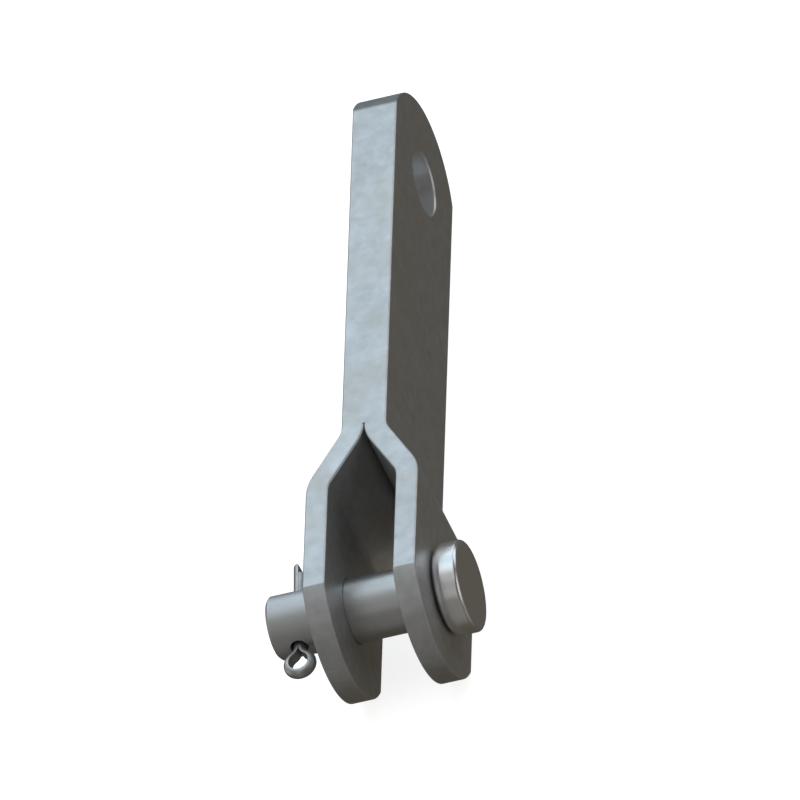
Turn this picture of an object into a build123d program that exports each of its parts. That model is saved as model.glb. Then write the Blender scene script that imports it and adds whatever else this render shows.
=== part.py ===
"""Clevis and tongue extension link: two bent straps welded back to back, a clevis pin and a cotter pin.

The straps lie flat against each other along the tongue and spread apart into a fork at the other end.
Frame: origin at the centre of the tongue hole. X runs along both hole axes, towards the head of the pin.
Y runs along the link, from the fork towards the end of the tongue. Z runs across the width of the straps.
All dimensions are in millimetres.
"""

from build123d import *
import os
from math import atan2, cos, degrees, radians, sin, sqrt, tan

os.makedirs("parts", exist_ok=True)

# Straps
strap_width = 45.0
strap_thickness = 6.35
hole_centres = 152.4
tongue_hole_diameter = 18.25
tongue_end_radius = 24.7
fork_opening = 19.05
bend_angle = 30.0
bend_inner_radius = strap_thickness
shoulder_above_pin = 26.0
ear_end_radius = 24.9
ear_end_centre_above_pin = 1.35
rolled_edge_radius = 0.6
sheared_edge_break = 0.3
hole_edge_break = 0.4

# Weld fill in the V groove around the tongue, ground flush with the straps
groove_depth = 2.0

# Clevis pin
pin_diameter = 17.46
pin_running_clearance = 0.08
pin_end_x = -31.7
pin_end_chamfer = 0.7
head_diameter = 25.2
head_thickness = 7.7
head_to_ear = 0.1
head_shoulder_round = 2.8
head_rim_round = 1.2

# Cotter pin; its legs and its eye are measured from the pin's axis, along the cotter
cotter_x = -24.65
cotter_droop = 4.0
cotter_rod_diameter = 3.55
cotter_hole_diameter = 4.9
cotter_hole_edge_round = 0.45
cotter_leg_gap = 0.1
long_leg_length = 19.6
short_leg_length = 16.6
cotter_tip_round = 0.7
eye_outer_diameter = 9.1
eye_end_distance = 18.4
eye_neck_radius = 3.5

# How near an edge lies to a plane to be taken as on it
touching = 0.01

# Places that follow from the driving dimensions
half_width = strap_width / 2
pin_y = -hole_centres
fork_inner_x = fork_opening / 2
ear_outer_x = fork_inner_x + strap_thickness
bend_outer_radius = bend_inner_radius + strap_thickness
shoulder_y = pin_y + shoulder_above_pin
crotch_y = shoulder_y + fork_inner_x / tan(radians(bend_angle))
outer_face_shift = strap_thickness * tan(radians(bend_angle / 2))
straps_meet_y = crotch_y + bend_outer_radius * tan(radians(bend_angle / 2))
ear_end_centre_y = pin_y + ear_end_centre_above_pin
ear_crown_y = ear_end_centre_y - ear_end_radius
ear_corner_y = ear_end_centre_y - sqrt(ear_end_radius**2 - half_width**2)
tongue_corner_y = sqrt(tongue_end_radius**2 - half_width**2)
tongue_corner_angle = degrees(atan2(half_width, tongue_corner_y))

# Weld fill: three beads of triangular section, along both seams and round the end of the tongue

with BuildPart() as seam_weld_end:
    with BuildSketch(Plane.XY):
        with BuildLine():
            Polyline(
                (-groove_depth, tongue_end_radius),
                (0, tongue_end_radius - groove_depth),
                (groove_depth, tongue_end_radius),
                close=True,
            )
        make_face()
    revolve(axis=Axis.X, revolution_arc=tongue_corner_angle)
    mirror(about=Plane.XY)
seam_weld_end.part.label = "seam_weld_end"
export_step(seam_weld_end.part, "parts/seam_weld_end.step")

with BuildPart() as seam_weld_upper:
    with BuildSketch(Plane.XZ.offset(-tongue_corner_y)):
        with BuildLine():
            Polyline(
                (-groove_depth, half_width),
                (0, half_width - groove_depth),
                (groove_depth, half_width),
                close=True,
            )
        make_face()
    extrude(amount=tongue_corner_y - straps_meet_y)
    add(seam_weld_end.part, mode=Mode.SUBTRACT)
seam_weld_upper.part.label = "seam_weld_upper"
export_step(seam_weld_upper.part, "parts/seam_weld_upper.step")

with BuildPart() as seam_weld_lower:
    add(mirror(seam_weld_upper.part, about=Plane.XY, mode=Mode.PRIVATE))
seam_weld_lower.part.label = "seam_weld_lower"
export_step(seam_weld_lower.part, "parts/seam_weld_lower.step")

# Straps: the bent bar in plan, cut to its side outline, with the seam groove taken off

with BuildPart() as strap_right:
    with BuildSketch(Plane.XY.offset(-half_width)):
        with BuildLine():
            FilletPolyline(
                (0, tongue_end_radius),
                (0, crotch_y),
                (fork_inner_x, shoulder_y),
                (fork_inner_x, ear_crown_y),
                radius=[bend_outer_radius, bend_inner_radius],
            )
            Line((fork_inner_x, ear_crown_y), (ear_outer_x, ear_crown_y))
            FilletPolyline(
                (ear_outer_x, ear_crown_y),
                (ear_outer_x, shoulder_y + outer_face_shift),
                (strap_thickness, crotch_y + outer_face_shift),
                (strap_thickness, tongue_end_radius),
                radius=[bend_outer_radius, bend_inner_radius],
            )
            Line((strap_thickness, tongue_end_radius), (0, tongue_end_radius))
        make_face()
    extrude(amount=strap_width)
    with BuildSketch(Plane.YZ):
        with BuildLine():
            ThreePointArc(
                (tongue_corner_y, half_width),
                (tongue_end_radius, 0),
                (tongue_corner_y, -half_width),
            )
            Line((tongue_corner_y, -half_width), (ear_corner_y, -half_width))
            ThreePointArc(
                (ear_corner_y, -half_width),
                (ear_crown_y, 0),
                (ear_corner_y, half_width),
            )
            Line((ear_corner_y, half_width), (tongue_corner_y, half_width))
        make_face()
        Circle(tongue_hole_diameter / 2, mode=Mode.SUBTRACT)
        with Locations((pin_y, 0)):
            Circle(pin_diameter / 2 + pin_running_clearance, mode=Mode.SUBTRACT)
    extrude(amount=ear_outer_x, mode=Mode.INTERSECT)
    add(seam_weld_end.part, mode=Mode.SUBTRACT)
    add(seam_weld_upper.part, mode=Mode.SUBTRACT)
    add(seam_weld_lower.part, mode=Mode.SUBTRACT)
    hole_rims = strap_right.edges().filter_by(GeomType.CIRCLE).filter_by(
        lambda edge: edge.radius < pin_diameter and abs(edge.normal().X) > 0.99
    )
    outer_rims = hole_rims.filter_by(lambda edge: edge.center().X > groove_depth)
    chamfer(outer_rims, length=hole_edge_break)
    width_edges = strap_right.edges().filter_by(
        lambda edge: abs(abs(edge.center().Z) - half_width) < touching and abs(edge.tangent_at(0.5).Y) > 0.5
    )
    rolled_edges = width_edges.filter_by(
        lambda edge: edge.center().X > groove_depth + touching or edge.center().Y < straps_meet_y
    )
    fillet(rolled_edges, radius=rolled_edge_radius)
    end_arcs = strap_right.edges().filter_by(GeomType.CIRCLE).filter_by(
        lambda edge: edge.radius > pin_diameter and edge.center().X > groove_depth + touching
    )
    fillet(end_arcs, radius=sheared_edge_break)
strap_right.part.label = "strap_right"
export_step(strap_right.part, "parts/strap_right.step")

with BuildPart() as strap_left:
    add(mirror(strap_right.part, about=Plane.YZ, mode=Mode.PRIVATE))
strap_left.part.label = "strap_left"
export_step(strap_left.part, "parts/strap_left.step")

# Clevis pin: plain shank with a cross hole near its end and a flat head with a rounded shoulder

with BuildPart() as clevis_pin:
    with BuildSketch(Plane.YZ.offset(pin_end_x)):
        with Locations((pin_y, 0)):
            Circle(pin_diameter / 2)
    extrude(amount=ear_outer_x + head_to_ear - pin_end_x)
    pin_end_rim = clevis_pin.edges().group_by(Axis.X)[0]
    chamfer(pin_end_rim, length=pin_end_chamfer)
    with BuildSketch(Plane.YZ.offset(ear_outer_x + head_to_ear)):
        with Locations((pin_y, 0)):
            Circle(head_diameter / 2)
    extrude(amount=head_thickness)
    head_rims = clevis_pin.edges().filter_by(GeomType.CIRCLE).filter_by(
        lambda edge: edge.radius > pin_diameter / 2 + touching
    )
    fillet(head_rims.sort_by(Axis.X)[0], radius=head_shoulder_round)
    face_rim = clevis_pin.edges().filter_by(GeomType.CIRCLE).sort_by(Axis.X)[-1]
    fillet(face_rim, radius=head_rim_round)
    with BuildSketch(Plane.XZ.offset(-pin_y)):
        with Locations((cotter_x, 0)):
            Circle(cotter_hole_diameter / 2)
    extrude(amount=pin_diameter, both=True, mode=Mode.SUBTRACT)
    cross_hole_rims = clevis_pin.edges().filter_by(
        lambda edge: abs(edge.center().X - cotter_x) < touching and edge.geom_type != GeomType.LINE
    )
    fillet(cross_hole_rims, radius=cotter_hole_edge_round)
clevis_pin.part.label = "clevis_pin"
export_step(clevis_pin.part, "parts/clevis_pin.step")

# Cotter pin: a half-round wire folded into an eye, its two legs flat against each other, one leg longer.
# It sits loosely in its hole and droops on the side of the eye.

cotter_plane = Plane(
    origin=(cotter_x, pin_y, 0),
    x_dir=(1, 0, 0),
    z_dir=(0, -sin(radians(cotter_droop)), cos(radians(cotter_droop))),
)
wire_radius = cotter_rod_diameter / 2
leg_face = cotter_leg_gap / 2
eye_inner_radius = eye_outer_diameter / 2 - wire_radius
eye_centre_y = eye_outer_diameter / 2 - eye_end_distance
neck_to_eye_x = leg_face + eye_neck_radius
neck_to_eye_y = sqrt((eye_inner_radius + eye_neck_radius) ** 2 - neck_to_eye_x**2)
neck_y = eye_centre_y + neck_to_eye_y
neck_turn = degrees(atan2(neck_to_eye_y, neck_to_eye_x))

with BuildPart() as cotter_pin:
    with BuildLine(cotter_plane) as wire_line:
        Line((-leg_face, long_leg_length), (-leg_face, neck_y))
        CenterArc((-neck_to_eye_x, neck_y), eye_neck_radius, 0, -neck_turn)
        CenterArc((0, eye_centre_y), eye_inner_radius, 180 - neck_turn, 180 + 2 * neck_turn)
        CenterArc((neck_to_eye_x, neck_y), eye_neck_radius, 180 + neck_turn, -neck_turn)
        Line((leg_face, neck_y), (leg_face, short_leg_length))
    long_leg_tip = Plane(
        origin=cotter_plane.from_local_coords((-leg_face, long_leg_length, 0)),
        x_dir=(-1, 0, 0),
        z_dir=-cotter_plane.y_dir,
    )
    with BuildSketch(long_leg_tip):
        with BuildLine():
            ThreePointArc((0, -wire_radius), (wire_radius, 0), (0, wire_radius))
            Line((0, wire_radius), (0, -wire_radius))
        make_face()
    sweep(path=wire_line.line)
    leg_tips = cotter_pin.faces().filter_by(Axis((0, 0, 0), cotter_plane.y_dir))
    fillet(leg_tips.edges(), radius=cotter_tip_round)
cotter_pin.part.label = "cotter_pin"
export_step(cotter_pin.part, "parts/cotter_pin.step")
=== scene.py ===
import math

import bpy
from mathutils import Matrix, Vector


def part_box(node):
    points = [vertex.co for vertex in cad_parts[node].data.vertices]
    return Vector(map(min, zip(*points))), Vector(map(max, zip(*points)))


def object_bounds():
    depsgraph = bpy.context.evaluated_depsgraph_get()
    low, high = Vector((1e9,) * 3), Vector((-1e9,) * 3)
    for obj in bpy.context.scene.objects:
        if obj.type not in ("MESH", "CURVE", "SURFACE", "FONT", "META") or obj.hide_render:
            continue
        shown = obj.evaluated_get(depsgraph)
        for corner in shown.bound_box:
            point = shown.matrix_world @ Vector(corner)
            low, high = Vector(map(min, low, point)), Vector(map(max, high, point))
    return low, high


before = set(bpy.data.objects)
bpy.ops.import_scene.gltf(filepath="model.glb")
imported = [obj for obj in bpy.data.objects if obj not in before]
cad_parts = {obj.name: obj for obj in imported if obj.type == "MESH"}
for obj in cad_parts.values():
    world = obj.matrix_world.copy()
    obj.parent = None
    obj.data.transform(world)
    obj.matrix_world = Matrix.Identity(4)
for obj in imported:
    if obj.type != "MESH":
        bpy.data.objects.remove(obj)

# The object is a galvanised clevis and tongue link. X runs along its pin, Y towards its tongue, Z up.
# Lengths are in metres, as in the frame, unless a name ends in _mm. Angles are in degrees.

cad_low, cad_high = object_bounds()
pin_low, pin_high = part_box("clevis_pin")
strap_low, strap_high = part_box("strap_right")
weld_low, weld_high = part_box("seam_weld_upper")
pin_centre = Vector((0, (pin_low.y + pin_high.y) / 2, (pin_low.z + pin_high.z) / 2))

mm_per_metre = 1000.0
tongue_end_mm = strap_high.y * mm_per_metre
ear_outer_mm = strap_high.x * mm_per_metre
strap_thickness_mm = 6.35
ear_inner_mm = ear_outer_mm - strap_thickness_mm
seam_half_width_mm = weld_high.x * mm_per_metre
tongue_hole_radius_mm = 9.125

# Camera: a long lens, so that the view is close to parallel
camera_azimuth = 20.97
camera_elevation = 43.0
camera_roll = -27.39
camera_lens_mm = 1500
sensor_mm = 36
view_width = 0.2123
aim_right_of_pin = 0.00327
aim_above_pin = 0.0541
clip_near_share = 0.01
clip_far_share = 4


def direction(azimuth, elevation):
    """Unit vector from the object towards a viewer; azimuth 0 stands at -Y and 90 at +X."""
    a = math.radians(azimuth)
    e = math.radians(elevation)
    return Vector((math.sin(a) * math.cos(e), -math.cos(a) * math.cos(e), math.sin(e)))


def make_camera():
    """The camera looks at the object along the chosen direction, turned by its roll."""
    back = direction(camera_azimuth, camera_elevation)
    level_right = Vector((0, 0, 1)).cross(back).normalized()
    level_up = back.cross(level_right)
    roll = math.radians(camera_roll)
    right = level_right * math.cos(roll) + level_up * math.sin(roll)
    up = level_up * math.cos(roll) - level_right * math.sin(roll)
    aim = pin_centre + right * aim_right_of_pin + up * aim_above_pin
    data = bpy.data.cameras.new("camera")
    data.lens = camera_lens_mm
    data.sensor_width = sensor_mm
    distance = view_width * camera_lens_mm / sensor_mm
    data.clip_start = distance * clip_near_share
    data.clip_end = distance * clip_far_share
    camera = bpy.data.objects.new("camera", data)
    bpy.context.scene.collection.objects.link(camera)
    turn = Matrix((right, up, back)).transposed().to_4x4()
    camera.matrix_world = Matrix.Translation(aim + back * distance) @ turn
    bpy.context.scene.camera = camera


# How far a rounded normal turns from the true one along an edge, as the cosine between the two
edge_begins = 0.995
edge_is_full = 0.90
edge_samples = 6


class Nodes:
    """A node tree, with one short method for each kind of node that is used below."""

    def __init__(self, tree):
        self.tree = tree

    def link(self, value, socket):
        """Sets a socket to a number, a tuple or another node's output."""
        if isinstance(value, bpy.types.NodeSocket):
            self.tree.links.new(value, socket)
        else:
            socket.default_value = value

    def vector_math(self, operation, a, b=None, scale=None):
        """One operation on vectors; a dot product or a length comes back as a number."""
        node = self.tree.nodes.new("ShaderNodeVectorMath")
        node.operation = operation
        self.link(a, node.inputs[0])
        if b is not None:
            self.link(b, node.inputs[1])
        if scale is not None:
            self.link(scale, node.inputs["Scale"])
        single = operation in ("DOT_PRODUCT", "LENGTH")
        return node.outputs["Value" if single else "Vector"]

    def math(self, operation, a, b=0.0):
        """One operation on one or two numbers."""
        node = self.tree.nodes.new("ShaderNodeMath")
        node.operation = operation
        self.link(a, node.inputs[0])
        self.link(b, node.inputs[1])
        return node.outputs["Value"]

    def weighted(self, *pairs):
        """The sum of each value times its weight."""
        total = 0.0
        for value, weight in pairs:
            total = self.math("ADD", self.math("MULTIPLY", value, weight), total)
        return total

    def remap(self, value, low, high, to_low, to_high, smooth=False):
        """Stretches the span low to high onto to_low to to_high, and holds the ends beyond it."""
        node = self.tree.nodes.new("ShaderNodeMapRange")
        node.interpolation_type = "SMOOTHSTEP" if smooth else "LINEAR"
        self.link(value, node.inputs["Value"])
        self.link(low, node.inputs["From Min"])
        self.link(high, node.inputs["From Max"])
        self.link(to_low, node.inputs["To Min"])
        self.link(to_high, node.inputs["To Max"])
        return node.outputs["Result"]

    def noise(self, vector, per_mm, detail=3.0, roughness=0.5):
        """Soft noise, as the node itself, since both its number and its colour are used."""
        node = self.tree.nodes.new("ShaderNodeTexNoise")
        self.link(vector, node.inputs["Vector"])
        self.link(per_mm, node.inputs["Scale"])
        self.link(detail, node.inputs["Detail"])
        self.link(roughness, node.inputs["Roughness"])
        return node

    def cells(self, vector, per_mm):
        """A value from 0 to 1 that is the same all over each crystal."""
        node = self.tree.nodes.new("ShaderNodeTexVoronoi")
        self.link(vector, node.inputs["Vector"])
        self.link(per_mm, node.inputs["Scale"])
        split = self.tree.nodes.new("ShaderNodeSeparateColor")
        self.link(node.outputs["Color"], split.inputs["Color"])
        return split.outputs["Red"]

    def ramp(self, value, stops):
        """A colour that runs through the stops, each one a place from 0 to 1 and a colour."""
        node = self.tree.nodes.new("ShaderNodeValToRGB")
        self.link(value, node.inputs["Fac"])
        elements = node.color_ramp.elements
        while len(elements) < len(stops):
            elements.new(0.5)
        for element, (place, colour) in zip(elements, stops):
            element.position = place
            element.color = (*colour, 1)
        return node.outputs["Color"]

    def mix(self, factor, a, b):
        """Colour a at factor 0 and colour b at factor 1."""
        node = self.tree.nodes.new("ShaderNodeMix")
        node.data_type = "RGBA"
        self.link(factor, node.inputs["Factor"])
        self.link(a if isinstance(a, bpy.types.NodeSocket) else (*a, 1), node.inputs["A"])
        self.link(b if isinstance(b, bpy.types.NodeSocket) else (*b, 1), node.inputs["B"])
        return node.outputs["Result"]

    def bump(self, height, height_mm, normal=None):
        """A normal bent by a height from 0 to 1 that stands for so many millimetres."""
        node = self.tree.nodes.new("ShaderNodeBump")
        self.link(height_mm / mm_per_metre, node.inputs["Distance"])
        self.link(height, node.inputs["Height"])
        if normal is not None:
            self.link(normal, node.inputs["Normal"])
        return node.outputs["Normal"]

    def edges(self, radius_mm):
        """1 along sharp edges and corners, 0 on flat or even surfaces."""
        bevel = self.tree.nodes.new("ShaderNodeBevel")
        bevel.samples = edge_samples
        self.link(radius_mm / mm_per_metre, bevel.inputs["Radius"])
        geometry = self.tree.nodes.new("ShaderNodeNewGeometry")
        facing = self.vector_math("DOT_PRODUCT", bevel.outputs["Normal"], geometry.outputs["Normal"])
        return self.remap(facing, edge_begins, edge_is_full, 0.0, 1.0)


# Light: a dim warm surround with soft glows in it, and no lamps.
# The upper edges of the straps mirror the cool glow, which stands behind and above the object.

surround = (0.080, 0.070, 0.055)
cool = (0.80, 1.02, 1.19)
nearly_white = (0.97, 1.0, 1.04)
warm = (1.1, 1.0, 0.9)
white_behind = (1, 1, 1, 1)

# Each glow: azimuth, elevation, angle out to which it is full, angle at which it ends, strength, tint
glows = (
    (200, 42, 15, 50, 0.79, cool),
    (206, 25, 5, 30, 0.42, nearly_white),
    (228, 66, 5, 26, 0.24, nearly_white),
    (138, 25, 8, 28, 1.10, nearly_white),
    (75, 15, 8, 32, 0.72, nearly_white),
    (0, 90, 8, 32, 0.48, nearly_white),
    (339, 50, 8, 32, 0.31, nearly_white),
    (270, 10, 8, 36, 0.55, nearly_white),
    (80, -25, 10, 40, 0.15, warm),
    (350, -5, 15, 60, 0.13, nearly_white),
)


def make_world():
    """The surround lights the object; seen directly, behind the object, it is plain white."""
    world = bpy.data.worlds.new("surround")
    world.use_nodes = True
    n = Nodes(world.node_tree)
    seen_along = n.tree.nodes.new("ShaderNodeTexCoord").outputs["Generated"]
    total = surround
    for azimuth, elevation, full_angle, end_angle, strength, tint in glows:
        facing = n.vector_math("DOT_PRODUCT", seen_along, direction(azimuth, elevation))
        full = math.cos(math.radians(full_angle))
        end = math.cos(math.radians(end_angle))
        share = n.remap(facing, end, full, 0.0, 1.0, smooth=True)
        glow = n.vector_math("SCALE", tint, scale=n.math("MULTIPLY", share, strength))
        total = n.vector_math("ADD", total, glow)
    lit = n.tree.nodes["Background"]
    n.link(total, lit.inputs["Color"])
    plain = n.tree.nodes.new("ShaderNodeBackground")
    n.link(white_behind, plain.inputs["Color"])
    path = n.tree.nodes.new("ShaderNodeLightPath")
    choice = n.tree.nodes.new("ShaderNodeMixShader")
    n.link(path.outputs["Is Camera Ray"], choice.inputs["Fac"])
    n.link(lit.outputs["Background"], choice.inputs[1])
    n.link(plain.outputs["Background"], choice.inputs[2])
    n.link(choice.outputs["Shader"], n.tree.nodes["World Output"].inputs["Surface"])
    bpy.context.scene.world = world


# Stage: a pale floor under the object, which lights nothing itself

floor_half_width = 4.0
floor_colour = (0.9, 0.9, 0.9, 1)
floor_roughness = 0.9
floor_glow_colour = (1, 1, 1, 1)
floor_glow = 0.8


def make_floor():
    """A flat sheet under the object, seen by the camera only."""
    mesh = bpy.data.meshes.new("floor")
    h = floor_half_width
    z = cad_low.z
    mesh.from_pydata([(-h, -h, z), (h, -h, z), (h, h, z), (-h, h, z)], [], [(0, 1, 2, 3)])
    floor = bpy.data.objects.new("floor", mesh)
    bpy.context.scene.collection.objects.link(floor)
    material = bpy.data.materials.new("pale_floor")
    material.use_nodes = True
    shader = material.node_tree.nodes["Principled BSDF"]
    shader.inputs["Base Color"].default_value = floor_colour
    shader.inputs["Roughness"].default_value = floor_roughness
    shader.inputs["Emission Color"].default_value = floor_glow_colour
    shader.inputs["Emission Strength"].default_value = floor_glow
    mesh.materials.append(material)
    floor.visible_diffuse = False
    floor.visible_glossy = False
    floor.visible_shadow = False


# Materials. A scale is in cycles per millimetre and a colour is linear red, green and blue.
# A share says how much of a pattern or a colour is mixed in, from 0 to 1.

x_axis = (1.0, 0.0, 0.0)
y_axis = (0.0, 1.0, 0.0)
no_x = (0.0, 1.0, 1.0)


def start_material(name):
    """A new material, its nodes, and the place on the object in millimetres."""
    material = bpy.data.materials.new(name)
    material.use_nodes = True
    n = Nodes(material.node_tree)
    place = n.tree.nodes.new("ShaderNodeTexCoord").outputs["Object"]
    return material, n, n.vector_math("SCALE", place, scale=mm_per_metre)


def finish_material(material, n, colour, roughness, metallic, normal):
    """Joins the material's values to its shader."""
    shader = n.tree.nodes["Principled BSDF"]
    n.link(colour, shader.inputs["Base Color"])
    n.link(roughness, shader.inputs["Roughness"])
    n.link(metallic, shader.inputs["Metallic"])
    n.link(normal, shader.inputs["Normal"])
    return material


# Hot-dip zinc
crystal_scale = 0.24
crystal_warp_scale = 0.35
crystal_warp_mm = 3.0
blotch_scale = 0.33
cloud_scale = 0.06
zinc_grain_scale = 2.2
stain_scale = 0.07
ripple_scale = 0.11
crystal_share, blotch_share, cloud_share, zinc_grain_share = 0.08, 0.44, 0.30, 0.18
dark_tone, middle_tone, light_tone = 0.33, 0.5, 0.67
dark_zinc = (0.49, 0.50, 0.495)
middle_zinc = (0.57, 0.58, 0.59)
light_zinc = (0.64, 0.655, 0.68)
stained_zinc = (0.55, 0.525, 0.465)
stain_begins, stain_is_full, stain_share = 0.44, 0.66, 0.45
dark_zinc_roughness, light_zinc_roughness = 0.44, 0.38
zinc_metallic = 0.8
ripple_height_mm = 0.30
crystal_height_mm = 0.004
zinc_grain_height_mm = 0.02

# Rubbed edges of the straps, away from the welded seam
rubbed_edge_mm = 0.6
rubbed_zinc = (0.72, 0.74, 0.76)
rubbed_share = 0.35
rubbed_roughness = -0.06
seam_margin_mm = 0.9
seam_fade_mm = 0.4

# Painted light lightens the bore of the tongue, and painted shade darkens the sheared round end of the
# tongue, which is also duller
bore_margin_mm = 0.2
bore_fade_mm = 0.2
bore_painted_light_share = 0.5
# Painted light: the lighter zinc mixed into the bore of the tongue
bore_painted_light = (0.80, 0.81, 0.82)
# Painted shade: where the dark zinc on the round end of the tongue begins and is full, how much of it is
# mixed in, and how uneven it is
end_shade_begins_mm = 0.4
end_shade_is_full_mm = 0.1
end_painted_shade_share = 0.75
end_painted_shade = (0.17, 0.17, 0.168)
sheared_roughness = 0.3
end_shade_dark_tone, end_shade_light_tone = 0.3, 0.7
end_shade_least = 0.75


def hot_dip_zinc(name, on_strap):
    """Dull hot-dip zinc: faint crystals, clouds and slightly brown patches; straps have rubbed edges.
    Painted light lightens the tongue's bore and painted shade darkens its round end.
    """
    material, n, place = start_material(name)
    warp = n.noise(place, crystal_warp_scale, detail=2).outputs["Color"]
    warped = n.vector_math("ADD", place, n.vector_math("SCALE", warp, scale=crystal_warp_mm))
    crystals = n.cells(warped, crystal_scale)
    blotches = n.noise(place, blotch_scale, detail=2, roughness=0.45).outputs["Fac"]
    clouds = n.noise(place, cloud_scale, detail=4, roughness=0.6).outputs["Fac"]
    grain = n.noise(place, zinc_grain_scale, detail=3, roughness=0.6).outputs["Fac"]
    patterns = ((crystals, crystal_share), (blotches, blotch_share), (clouds, cloud_share))
    tone = n.weighted(*patterns, (grain, zinc_grain_share))
    shades = ((dark_tone, dark_zinc), (middle_tone, middle_zinc), (light_tone, light_zinc))
    colour = n.ramp(tone, shades)
    stains = n.noise(place, stain_scale, detail=4, roughness=0.6).outputs["Fac"]
    stain = n.remap(stains, stain_begins, stain_is_full, 0.0, stain_share)
    colour = n.mix(stain, colour, stained_zinc)
    roughness = n.remap(tone, dark_tone, light_tone, dark_zinc_roughness, light_zinc_roughness)
    if on_strap:
        across = n.math("ABSOLUTE", n.vector_math("DOT_PRODUCT", place, x_axis))
        seam_mm = seam_half_width_mm + seam_margin_mm
        off_the_seam = n.remap(across, seam_mm, seam_mm + seam_fade_mm, 0.0, 1.0)
        edge = n.math("MULTIPLY", n.edges(rubbed_edge_mm), off_the_seam)
        colour = n.mix(n.math("MULTIPLY", edge, rubbed_share), colour, rubbed_zinc)
        roughness = n.math("ADD", roughness, n.math("MULTIPLY", edge, rubbed_roughness))
    from_tongue_hole = n.vector_math("LENGTH", n.vector_math("MULTIPLY", place, no_x))
    bore_mm = tongue_hole_radius_mm + bore_margin_mm
    # Painted light: the bore of the tongue is mixed towards a lighter zinc
    bore_light_mask = n.remap(from_tongue_hole, bore_mm, bore_mm + bore_fade_mm, bore_painted_light_share, 0.0)
    colour = n.mix(bore_light_mask, colour, bore_painted_light)
    beyond_hole = n.remap(n.vector_math("DOT_PRODUCT", place, y_axis), 0.0, 1.0, 0.0, 1.0)
    # Painted shade: the round end of the tongue, beyond the hole, is mixed unevenly towards a dark zinc,
    # and is also made duller
    end_shade_span_mm = (tongue_end_mm - end_shade_begins_mm, tongue_end_mm - end_shade_is_full_mm)
    end_shade_and_dullness = n.remap(from_tongue_hole, *end_shade_span_mm, 0.0, end_painted_shade_share)
    end_shade_and_dullness = n.math("MULTIPLY", end_shade_and_dullness, beyond_hole)
    uneven = n.remap(tone, end_shade_dark_tone, end_shade_light_tone, 1.0, end_shade_least)
    end_shade_and_dullness = n.math("MULTIPLY", end_shade_and_dullness, uneven)
    colour = n.mix(end_shade_and_dullness, colour, end_painted_shade)
    roughness = n.math("ADD", roughness, n.math("MULTIPLY", end_shade_and_dullness, sheared_roughness))
    ripples = n.noise(place, ripple_scale, detail=2).outputs["Fac"]
    normal = n.bump(ripples, ripple_height_mm)
    normal = n.bump(crystals, crystal_height_mm, normal)
    normal = n.bump(grain, zinc_grain_height_mm, normal)
    return finish_material(material, n, colour, roughness, zinc_metallic, normal)


# The clevis pin: rings are stretched round the pin, since the turning tool ran round it
along_the_rings = (1.0, 0.04, 0.04)
ring_scale = 3.5
pin_cloud_scale = 0.12
pin_grain_scale = 2.0
ring_share, pin_cloud_share, pin_grain_share = 0.25, 0.45, 0.30
pin_shades = ((0.3, (0.52, 0.52, 0.515)), (0.5, (0.56, 0.562, 0.56)), (0.7, (0.60, 0.605, 0.605)))
head_begins_mm = 1.5
head_share = 0.8
head_zinc = (0.87, 0.87, 0.86)
pin_edge_mm = 0.5
pin_edge_share = 0.3
pin_edge_zinc = (0.80, 0.80, 0.79)
free_end_fade_mm = 1.0
free_end_roughness = 0.48
shank_roughness = 0.38
head_smoother, tone_smoother, edge_smoother = -0.16, -0.05, -0.03
pin_metallic = 0.85
ring_height_mm = 0.008
pin_cloud_height_mm = 0.05


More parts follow.
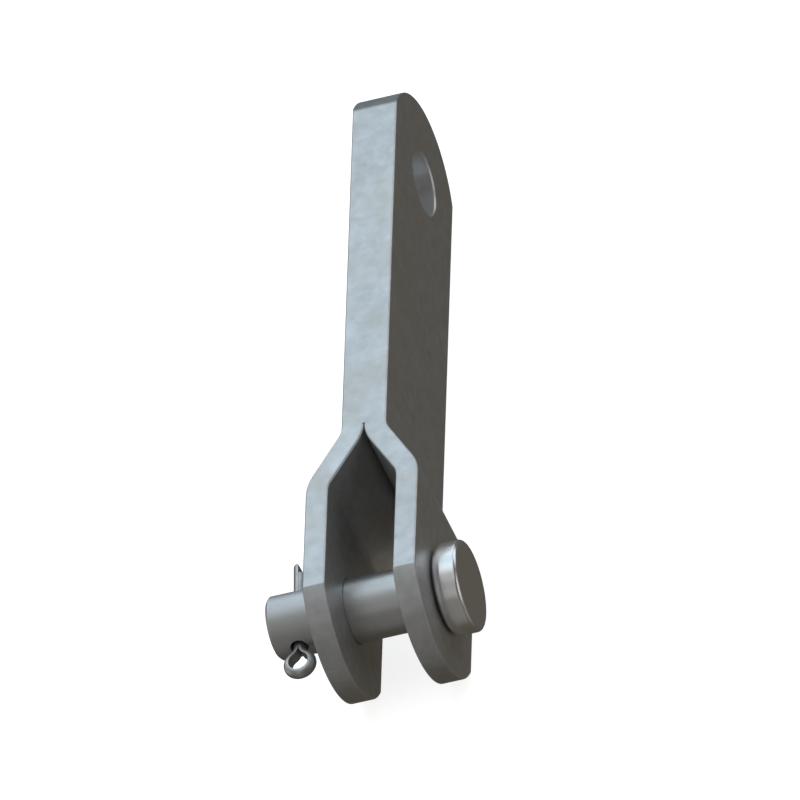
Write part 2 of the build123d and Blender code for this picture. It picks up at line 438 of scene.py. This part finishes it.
def galvanised_pin():
    """Turned steel under thin zinc: fine rings, dull at its free end, smooth on its head."""
    material, n, place = start_material("galvanised_pin")
    stretched = n.vector_math("MULTIPLY", place, along_the_rings)
    rings = n.noise(stretched, ring_scale, detail=4, roughness=0.7).outputs["Fac"]
    clouds = n.noise(place, pin_cloud_scale, detail=4, roughness=0.6).outputs["Fac"]
    grain = n.noise(place, pin_grain_scale, detail=3, roughness=0.6).outputs["Fac"]
    tone = n.weighted((rings, ring_share), (clouds, pin_cloud_share), (grain, pin_grain_share))
    colour = n.ramp(tone, pin_shades)
    along = n.vector_math("DOT_PRODUCT", place, x_axis)
    on_head = n.remap(along, ear_outer_mm, ear_outer_mm + head_begins_mm, 0.0, 1.0)
    colour = n.mix(n.math("MULTIPLY", on_head, head_share), colour, head_zinc)
    edge = n.edges(pin_edge_mm)
    colour = n.mix(n.math("MULTIPLY", edge, pin_edge_share), colour, pin_edge_zinc)
    free_end_mm = -ear_inner_mm - free_end_fade_mm
    shank = n.remap(along, free_end_mm, -ear_inner_mm, free_end_roughness, shank_roughness)
    smoother = ((on_head, head_smoother), (tone, tone_smoother), (edge, edge_smoother))
    roughness = n.weighted((shank, 1.0), *smoother)
    normal = n.bump(rings, ring_height_mm)
    normal = n.bump(clouds, pin_cloud_height_mm, normal)
    return finish_material(material, n, colour, roughness, pin_metallic, normal)


# The wire of the cotter pin
wire_cloud_scale = 0.4
wire_grain_scale = 4.0
wire_cloud_share, wire_grain_share = 0.7, 0.3
wire_dark_tone, wire_light_tone = 0.3, 0.7
dark_wire = (0.44, 0.44, 0.43)
light_wire = (0.60, 0.60, 0.59)
dark_wire_roughness, light_wire_roughness = 0.46, 0.34
wire_metallic = 0.9
wire_grain_height_mm = 0.01


def cotter_wire():
    """Drawn wire with dulled zinc, cloudy and finely grained."""
    material, n, place = start_material("cotter_wire")
    clouds = n.noise(place, wire_cloud_scale, detail=4, roughness=0.6).outputs["Fac"]
    grain = n.noise(place, wire_grain_scale, detail=3, roughness=0.6).outputs["Fac"]
    tone = n.weighted((clouds, wire_cloud_share), (grain, wire_grain_share))
    colour = n.ramp(tone, ((wire_dark_tone, dark_wire), (wire_light_tone, light_wire)))
    roughness = n.remap(tone, wire_dark_tone, wire_light_tone, dark_wire_roughness, light_wire_roughness)
    normal = n.bump(grain, wire_grain_height_mm)
    return finish_material(material, n, colour, roughness, wire_metallic, normal)


def paint(material, *names):
    """Gives CAD nodes the material in every slot."""
    for name in names:
        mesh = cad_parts[name].data
        if not mesh.materials:
            mesh.materials.append(material)
        for i in range(len(mesh.materials)):
            mesh.materials[i] = material


make_camera()
make_world()
make_floor()
paint(hot_dip_zinc("galvanised_strap", True), "strap_left", "strap_right")
paint(hot_dip_zinc("galvanised_weld", False), "seam_weld_upper", "seam_weld_lower", "seam_weld_end")
paint(galvanised_pin(), "clevis_pin")
paint(cotter_wire(), "cotter_pin")

bpy.context.scene.view_settings.view_transform = "Standard"
